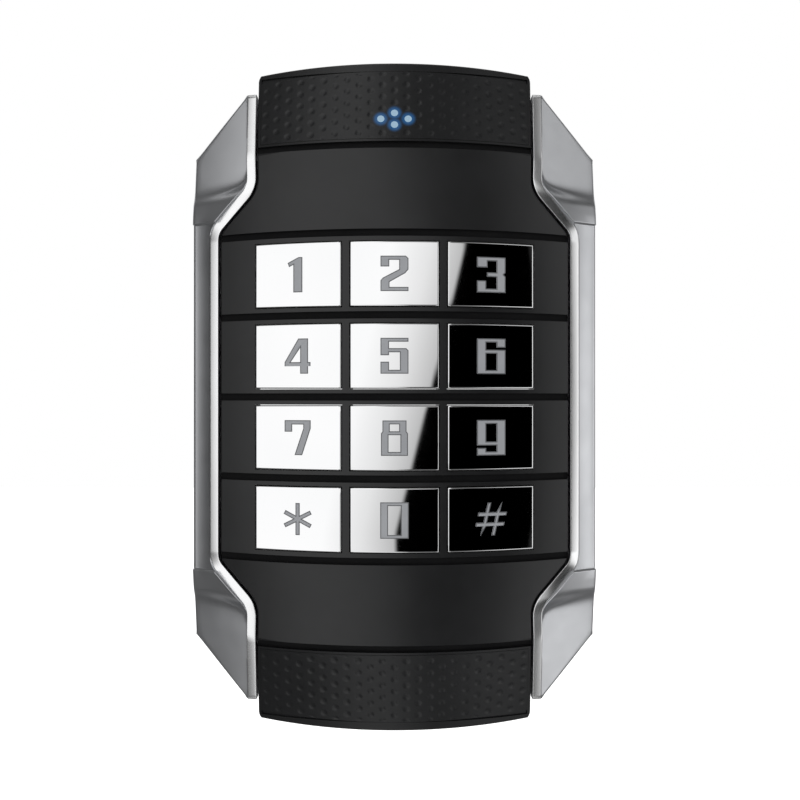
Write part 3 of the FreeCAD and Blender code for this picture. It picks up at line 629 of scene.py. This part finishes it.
# Each legend is an outer line and its holes, in millimetres about the key's middle.
LEGENDS = {
    "1": [[(1.0, 3.65), (0.2, 3.65), (-2.1, 2.5), (-1.8, 1.65), (-0.9, 2.1), (-0.9, -3.6),
           (1.0, -3.6)]],
    "2": [[(-2.85, 3.6), (2.3, 3.6), (2.85, 3.1), (2.85, 0.8), (2.2, 0.05), (-1.0, -1.75),
           (-1.0, -2.75), (2.85, -2.75), (2.85, -3.6), (-2.85, -3.6), (-2.85, -1.4),
           (-2.35, -0.85), (0.95, 0.85), (0.95, 2.75), (-1.05, 2.75), (-1.05, 1.4),
           (-2.85, 1.4)]],
    "3": [[(-3.0, 3.65), (3.0, 3.65), (3.0, 0.5), (2.6, 0.1), (3.0, -0.3), (3.0, -3.65),
           (-3.0, -3.65), (-3.0, -1.2), (-1.1, -1.2), (-1.1, -2.85), (1.1, -2.85), (1.1, -0.4),
           (-0.9, -0.4), (-0.9, 0.5), (1.1, 0.5), (1.1, 2.85), (-0.8, 2.85), (-0.8, 1.5),
           (-3.0, 1.5)]],
    "4": [[(0.15, 3.65), (2.2, 3.65), (2.2, -1.2), (2.7, -1.2), (2.7, -2.05), (2.2, -2.05),
           (2.2, -3.6), (0.55, -3.6), (0.55, -2.05), (-2.75, -2.05), (-2.75, -1.2)],
          [(0.55, 1.75), (0.55, -1.2), (-1.45, -1.2)]],
    "5": [[(-2.85, 3.65), (2.85, 3.65), (2.85, 2.85), (-1.1, 2.85), (-1.1, 1.55), (2.4, 1.55),
           (2.85, 1.1), (2.85, -3.65), (-2.85, -3.65), (-2.85, -1.2), (-1.1, -1.2),
           (-1.1, -2.85), (1.1, -2.85), (1.1, 0.7), (-1.1, 0.7), (-1.1, 0.1), (-2.85, 0.1)]],
    "6": [[(-3.0, 3.65), (3.0, 3.65), (3.0, 1.8), (1.1, 1.8), (1.1, 2.85), (-1.1, 2.85),
           (-1.1, 1.35), (3.0, 1.35), (3.0, -3.65), (-3.0, -3.65)],
          [(-1.1, 0.55), (1.1, 0.55), (1.1, -2.85), (-1.1, -2.85)]],
    "7": [[(-2.75, 3.6), (2.75, 3.6), (2.75, 1.9), (0.95, -3.6), (-0.65, -3.6), (1.2, 1.9),
           (1.2, 2.7), (-1.15, 2.7), (-1.15, 1.2), (-2.75, 1.2)]],
    "8": [[(-2.45, 3.6), (2.45, 3.6), (2.45, 1.35), (2.75, 0.95), (2.75, -3.6), (-2.75, -3.6),
           (-2.75, 0.95), (-2.45, 1.35)],
          [(-0.95, 2.8), (0.95, 2.8), (0.95, 1.4), (-0.95, 1.4)],
          [(-1.2, 0.6), (1.2, 0.6), (1.2, -2.8), (-1.2, -2.8)]],
    "9": [[(-3.0, 3.65), (3.0, 3.65), (3.0, -3.65), (-3.0, -3.65), (-3.0, -2.1), (-1.1, -2.1),
           (-1.1, -2.85), (1.1, -2.85), (1.1, -1.6), (-3.0, -1.6)],
          [(-1.1, 2.85), (1.1, 2.85), (1.1, -0.8), (-1.1, -0.8)]],
    "star": star_outline(),
    "0": [[(-2.9, 3.7), (2.9, 3.7), (2.9, -3.7), (-2.9, -3.7)],
          [(-1.3, 2.95), (1.3, 2.95), (1.3, -2.95), (-1.3, -2.95)]],
    "hash": hash_outline(),
}


def flat_figure(name):
    """A figure's outline, filled and given thickness, as a mesh in its own millimetres."""
    outline = bpy.data.curves.new(f"outline_{name}", "CURVE")
    outline.dimensions = "2D"
    outline.fill_mode = "BOTH"
    outline.extrude = 1.0
    for line in LEGENDS[name]:
        spline = outline.splines.new("POLY")
        spline.points.add(len(line) - 1)
        for point, (x, z) in zip(spline.points, line):
            point.co = (x, z, 0, 1)
        spline.use_cyclic_u = True
    holder = bpy.data.objects.new(f"holder_{name}", outline)
    flat = bpy.data.meshes.new_from_object(holder)
    bpy.data.objects.remove(holder)
    bm = bmesh.new()
    bm.from_mesh(flat)
    bpy.data.meshes.remove(flat)
    bmesh.ops.remove_doubles(bm, verts=bm.verts, dist=LEGEND_MERGE)
    return bm


def make_legend(name, material, rim_material):
    """A key's figure, with a rim of its own shade, bent onto the key's face."""
    bm = flat_figure(name)
    tops = [f for f in bm.faces if f.calc_center_median().z > 0.9]
    rim = bmesh.ops.inset_region(bm, faces=tops, thickness=LEGEND_RIM, use_even_offset=True)
    for face in rim["faces"]:
        face.material_index = 1
    for step in range(-LEGEND_SLICES, LEGEND_SLICES + 1):
        everything = bm.verts[:] + bm.edges[:] + bm.faces[:]
        bmesh.ops.bisect_plane(bm, geom=everything, plane_co=(step * LEGEND_SLICE, 0, 0),
                               plane_no=(1, 0, 0), dist=LEGEND_SLIVER)
    bmesh.ops.dissolve_degenerate(bm, dist=LEGEND_SLIVER, edges=bm.edges)
    middle, _ = key_frame(name)
    for vert in bm.verts:
        x, z = middle[0] + vert.co.x * MM, middle[1] + vert.co.y * MM
        rise = LEGEND_RISE if vert.co.z > 0 else -LEGEND_SINK
        vert.co = (x, -crest_level(x, z, KEY_PROUD + rise), z)
    piece = finish_piece(bm, f"key_{name}_legend", f"key_{name}", "key_core", 20, material)
    piece.data.materials.append(rim_material)


# ---------------------------------------------------------------- grip texture

GRIP_MARGIN = 0.75 * MM
GRIP_STEP = 0.2 * MM
GRIP_START = END_START + 1.33 * MM
GRIP_END = 68.95 * MM
GRIP_PROUD = 0.01 * MM
GRIP_SINK = 0.28 * MM
CROWN_RADIUS = 436.0 * MM
NECK_HALF_WIDTH = 28.7 * MM
NECK_FLARE = 0.036
SHOULDER_HIGH = 43.35 * MM
DIMPLE_PITCH_X = 2.5 * MM
DIMPLE_PITCH_Z = 2.8 * MM
DIMPLE_RADIUS = 0.68 * MM
DIMPLE_DEPTH = 0.1 * MM
DIMPLE_POWER = 0.75
PLAIN_RIM = 0.25 * MM


def neck_at(z):
    """Half width of the front's neck at a height."""
    return NECK_HALF_WIDTH + NECK_FLARE * (abs(z) - SHOULDER_HIGH)


def dimple(x, z):
    """Depth of the nearest round dimple; every other column is half a pitch higher."""
    column = round(x / DIMPLE_PITCH_X)
    shift = DIMPLE_PITCH_Z / 2 if column % 2 else 0.0
    row = round((z - shift) / DIMPLE_PITCH_Z)
    away = math.hypot(x - column * DIMPLE_PITCH_X, z - shift - row * DIMPLE_PITCH_Z)
    if away >= DIMPLE_RADIUS:
        return 0.0
    share = away / DIMPLE_RADIUS
    return DIMPLE_DEPTH * (1 - share * share) ** DIMPLE_POWER


def grid_rim(rows):
    """The points round the edge of a grid, in order."""
    return (rows[0] + [row[-1] for row in rows[1:]] + rows[-1][-2::-1]
            + [row[0] for row in rows[-2:0:-1]])


def make_grip(name, way, material=None):
    """The dimpled sheet at one end of the front, closed, lying in its shallow bed."""
    bm = bmesh.new()
    rows = round((GRIP_END - GRIP_START) / GRIP_STEP)
    columns = round(2 * NECK_HALF_WIDTH / GRIP_STEP)
    top, low = [], []
    for j in range(rows + 1):
        half = neck_at(GRIP_START + (GRIP_END - GRIP_START) * j / rows) - GRIP_MARGIN
        upper, lower = [], []
        for i in range(columns + 1):
            x = (2 * i / columns - 1) * half
            end = GRIP_END - (CROWN_RADIUS - math.sqrt(CROWN_RADIUS ** 2 - x * x))
            z = way * (GRIP_START + (end - GRIP_START) * j / rows)
            surface = crest_level(x, z)
            edge = min(half - abs(x), abs(z) - GRIP_START, end - abs(z))
            sunk = dimple(x, z) if edge > PLAIN_RIM else 0.0
            upper.append(bm.verts.new((x, -(surface + GRIP_PROUD - sunk), z)))
            on_rim = i in (0, columns) or j in (0, rows)
            lower.append(bm.verts.new((x, GRIP_SINK - surface, z)) if on_rim else None)
        top.append(upper)
        low.append(lower)
    for row_a, row_b in zip(top, top[1:]):
        bridge(bm, row_a, row_b, closed=False)
    under = grid_rim(low)
    bridge(bm, grid_rim(top), under)
    bm.faces.new(under)
    finish_piece(bm, name, ROOT, "front_plastic", 60, material)


# ---------------------------------------------------------------- silver housing

WAIST_HALF_WIDTH = 37.0 * MM
SHOULDER_LOW = 34.65 * MM
SHOULDER_TURN = math.atan((WAIST_HALF_WIDTH - NECK_HALF_WIDTH) / (SHOULDER_HIGH - SHOULDER_LOW))
HIGH_ROUND = 7.0 * MM
LOW_ROUND = 3.0 * MM
HOUSING_HALF_WIDTH = 43.5 * MM
HOUSING_HALF_HEIGHT = 65.5 * MM
CORNER_HALF_WIDTH = 32.1 * MM
CORNER_HALF_HEIGHT = 52.0 * MM
LIP_GAP = 0.5 * MM
LIP_WIDTH = 1.9 * MM
LIP_RISE = 0.4 * MM
LIP_ROUND = 0.1 * MM
LIP_CROWN = 0.035 * MM
LIP_TILT_NECK = 7.0
LIP_TILT_WAIST = 24.0
FLANK_STEEP = 86.0
FLANK_SHALLOW = 47.0
VALLEY_AT_NECK = 0.3 * MM
VALLEY_AT_SHOULDER = 3.6 * MM
WING_START = (31.9 * MM, 45.0 * MM, 17.5 * MM)
WING_FALL_OUT = 0.344
WING_ROUND = 0.00435 / MM
WING_FALL_UP = math.tan(math.radians(11.0))
BAND_HALF_HEIGHT = 37.1 * MM
BAND_OUTER_LEVEL = 14.5 * MM
BAND_FALL = 0.42
BAND_HOLLOW = 0.0435 / MM
EDGE_ROUND = 0.5 * MM
CUT_LEVEL = 11.3 * MM
LIP_STEPS = (0, 0.02, 0.06, 0.15, 0.4, 0.7, 1.0, 1.3, 1.55, 1.75, 1.84, 1.88, 1.9)
VALLEY_STEPS = (2.0, 2.15, 2.35, 2.6, 2.9, 3.3, 3.8, 4.4, 5.0)
EDGE_STEPS = 5
FLAT_STEPS = 8
LIP_TURN = 1.4 * MM
SHARE_OF_ROOM = 0.8
SHARE_FOR_EDGE = 0.6
CORNER_SLANT = 0.76
WING_TURN_LOW = SHOULDER_HIGH - 2.5 * MM
WING_TURN_HIGH = SHOULDER_HIGH + 5.0 * MM
# Heights between rows: close together round the shoulders, and further apart elsewhere.
CLOSE_ROWS = 0.3 * MM
WING_ROWS = 0.9 * MM
BAND_ROWS = 1.2 * MM
CLOSE_FROM = SHOULDER_LOW - 3 * MM
CLOSE_TO = SHOULDER_HIGH + 3.5 * MM
# The lip's polished faces: above this level, and facing the front at least this much.
POLISH_LEVEL = CUT_LEVEL + 0.5 * MM
POLISH_FACING = 0.35
TOUCHING = 1e-7
CAD_TOUCHING = 1e-6


def outline_x(height, grow):
    """Half width of the front's outline, grown, at a height; its shoulders are rounded."""
    z = abs(height)
    half_turn = math.tan(SHOULDER_TURN / 2)
    high = SHOULDER_HIGH + grow * half_turn
    low = SHOULDER_LOW + grow * half_turn
    neck, waist = NECK_HALF_WIDTH + grow, WAIST_HALF_WIDTH + grow
    high_round, low_round = HIGH_ROUND - grow, LOW_ROUND + grow
    high_reach, low_reach = high_round * half_turn, low_round * half_turn
    if z >= high + high_reach:
        return neck + NECK_FLARE * (z - high - high_reach)
    if z > high - high_reach * math.cos(SHOULDER_TURN):
        below = z - high - high_reach
        return neck + high_round - math.sqrt(high_round ** 2 - below ** 2)
    if z > low + low_reach * math.cos(SHOULDER_TURN):
        return neck + (high - z) * math.tan(SHOULDER_TURN)
    if z > low - low_reach:
        above = z - low + low_reach
        return waist - low_round + math.sqrt(low_round ** 2 - above ** 2)
    return waist


def housing_x(height):
    """Half width of the housing at a height."""
    above = abs(height) - CORNER_HALF_HEIGHT
    if above <= 0:
        return HOUSING_HALF_WIDTH
    slope = (HOUSING_HALF_WIDTH - CORNER_HALF_WIDTH) / (HOUSING_HALF_HEIGHT - CORNER_HALF_HEIGHT)
    return HOUSING_HALF_WIDTH - above * slope


def blend_between(value, low, high):
    """A smooth share from 0 at low to 1 at high."""
    share = min(1.0, max(0.0, (value - low) / (high - low)))
    return share * share * (3 - 2 * share)


def lip_level(z, across):
    """Level of the lip's rounded top, across from its inner edge."""
    middle = outline_x(z, LIP_GAP + LIP_WIDTH / 2)
    share = blend_between(middle, NECK_HALF_WIDTH + LIP_TURN, WAIST_HALF_WIDTH + LIP_TURN)
    tilt = math.radians(LIP_TILT_NECK + (LIP_TILT_WAIST - LIP_TILT_NECK) * share)
    off = across - LIP_WIDTH / 2
    level = crest_level(middle, z, LIP_RISE) - off * math.tan(tilt)
    level -= LIP_CROWN * (2 * off / LIP_WIDTH) ** 2
    inside = min(across, LIP_WIDTH - across)
    if inside < LIP_ROUND:
        level -= LIP_ROUND - math.sqrt(max(0.0, LIP_ROUND ** 2 - (LIP_ROUND - inside) ** 2))
    return level


def side_level(x, z, across, in_band):
    """Level of the housing outside the lip: the band, or the wing and the valley beside it."""
    out = HOUSING_HALF_WIDTH - x
    if in_band:
        return BAND_OUTER_LEVEL + BAND_FALL * out + BAND_HOLLOW * out * out
    away = x - WING_START[0]
    wing = WING_START[2] - away * WING_FALL_OUT - away * away * WING_ROUND
    wing -= (abs(z) - WING_START[1]) * WING_FALL_UP
    share = blend_between(abs(z), WING_TURN_LOW, WING_TURN_HIGH)
    steep = math.radians(FLANK_SHALLOW + (FLANK_STEEP - FLANK_SHALLOW) * share)
    blend = VALLEY_AT_SHOULDER + (VALLEY_AT_NECK - VALLEY_AT_SHOULDER) * share
    flank = lip_level(z, LIP_WIDTH) - (across - LIP_WIDTH) * math.tan(steep)
    return (flank + wing + math.hypot(flank - wing, blend)) / 2


def rail_row(z, in_band):
    """One row of (x, level) points from the lip's inner edge to the housing's outer edge."""
    outer = housing_x(z)
    lip_end = outline_x(z, LIP_GAP + LIP_WIDTH)
    slant = 1.0 if abs(z) <= CORNER_HALF_HEIGHT else CORNER_SLANT
    edge = min(EDGE_ROUND / slant, SHARE_FOR_EDGE * (outer - lip_end))
    row = [(outline_x(z, LIP_GAP + step * MM), lip_level(z, step * MM)) for step in LIP_STEPS]
    last = VALLEY_STEPS[-1] * MM
    span = outline_x(z, LIP_GAP + last) - lip_end
    squeeze = min(1.0, SHARE_OF_ROOM * (outer - edge - lip_end) / span)
    for step in VALLEY_STEPS:
        x = lip_end + (outline_x(z, LIP_GAP + step * MM) - lip_end) * squeeze
        across = LIP_WIDTH + (step * MM - LIP_WIDTH) * squeeze
        row.append((x, side_level(x, z, across, in_band)))
    start, across_rate = row[-1][0], (last - LIP_WIDTH) / span
    for i in range(1, FLAT_STEPS + 1):
        x = start + (outer - edge - start) * i / FLAT_STEPS
        across = LIP_WIDTH + (x - lip_end) * across_rate
        row.append((x, side_level(x, z, across, in_band)))
    for i in range(1, EDGE_STEPS + 1):
        turn = math.radians(90 * i / EDGE_STEPS)
        x = outer - edge * (1 - math.sin(turn))
        across = LIP_WIDTH + (x - lip_end) * across_rate
        level = side_level(x, z, across, in_band) - edge * (1 - math.cos(turn))
        row.append((x, level))
    return row


def rail_heights():
    """Heights of the rows, closer together round the shoulders, with a crease at the band."""
    heights = []
    z = HOUSING_HALF_HEIGHT
    while z > BAND_HALF_HEIGHT + 0.1 * MM:
        heights.append((z, False))
        z -= WING_ROWS if z > CLOSE_TO else CLOSE_ROWS
    heights.append((BAND_HALF_HEIGHT, False))
    z = BAND_HALF_HEIGHT
    while z > 0.5 * MM:
        heights.append((z, True))
        z -= CLOSE_ROWS if z > CLOSE_FROM else BAND_ROWS
    return heights + [(-z, band) for z, band in reversed(heights)]


def add_rail(bm, side):
    """One closed block of the housing's front, from CUT_LEVEL up, at the right or left."""
    full = []
    for z, in_band in rail_heights():
        row = rail_row(z, in_band)
        row = [(row[0][0], CUT_LEVEL), *row, (row[-1][0], CUT_LEVEL)]
        full.append([bm.verts.new((side * x, -level, z)) for x, level in row])
    for row_a, row_b in zip(full, full[1:]):
        bridge(bm, row_a, row_b)
    bm.faces.new(full[0])
    bm.faces.new(full[-1])
    block = [v for row in full for v in row]
    bmesh.ops.remove_doubles(bm, verts=block, dist=TOUCHING)


def make_housing():
    """The silver casting: the CAD's inside below a level, and a smoother front above it."""
    bm = bmesh.new()
    bm.from_mesh(NODES["side_housing"].data)
    bmesh.ops.remove_doubles(bm, verts=bm.verts, dist=CAD_TOUCHING)
    everything = bm.verts[:] + bm.edges[:] + bm.faces[:]
    cut = bmesh.ops.bisect_plane(bm, geom=everything, plane_co=(0, -CUT_LEVEL, 0),
                                 plane_no=(0, -1, 0), dist=TOUCHING, clear_outer=True)
    rim = [e for e in cut["geom_cut"] if isinstance(e, bmesh.types.BMEdge)]
    bmesh.ops.triangle_fill(bm, use_beauty=True, edges=rim)
    for side in (-1, 1):
        add_rail(bm, side)
    piece = finish_piece(bm, "silver_housing", ROOT, "cast_silver", 30)
    polish_lip(piece.data)
    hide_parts("side_housing")


def polish_lip(mesh):
    """Polish the faces of the lip's top, and leave the walls below the front flat-shaded."""
    mesh.materials.append(make_lip())
    for face in mesh.polygons:
        x, y, z = face.center
        if -y < CUT_LEVEL:
            face.use_smooth = False
        if -y < POLISH_LEVEL or abs(face.normal.y) < POLISH_FACING:
            continue
        inner, outer = outline_x(z, LIP_GAP), outline_x(z, LIP_GAP + LIP_WIDTH)
        if inner - 0.01 * MM < abs(x) < outer:
            face.material_index = 1


# ---------------------------------------------------------------- the scene

make_camera()
make_world()
make_floor()
dress_nodes()
darken_grooves()
make_housing()
for key in KEYS:
    make_key_cap(key)
figure = make_legend_material("legend", (0.30, 0.305, 0.32), (0.36, 0.365, 0.38), 0.12)
figure_rim = make_legend_material("legend_rim", (0.10, 0.102, 0.108), (0.14, 0.142, 0.148), 0.04)
for key in KEYS:
    make_legend(key, figure, figure_rim)
make_grip("grip_upper", 1, make_lit_grip())
make_grip("grip_lower", -1)
bpy.context.scene.view_settings.view_transform = "Standard"
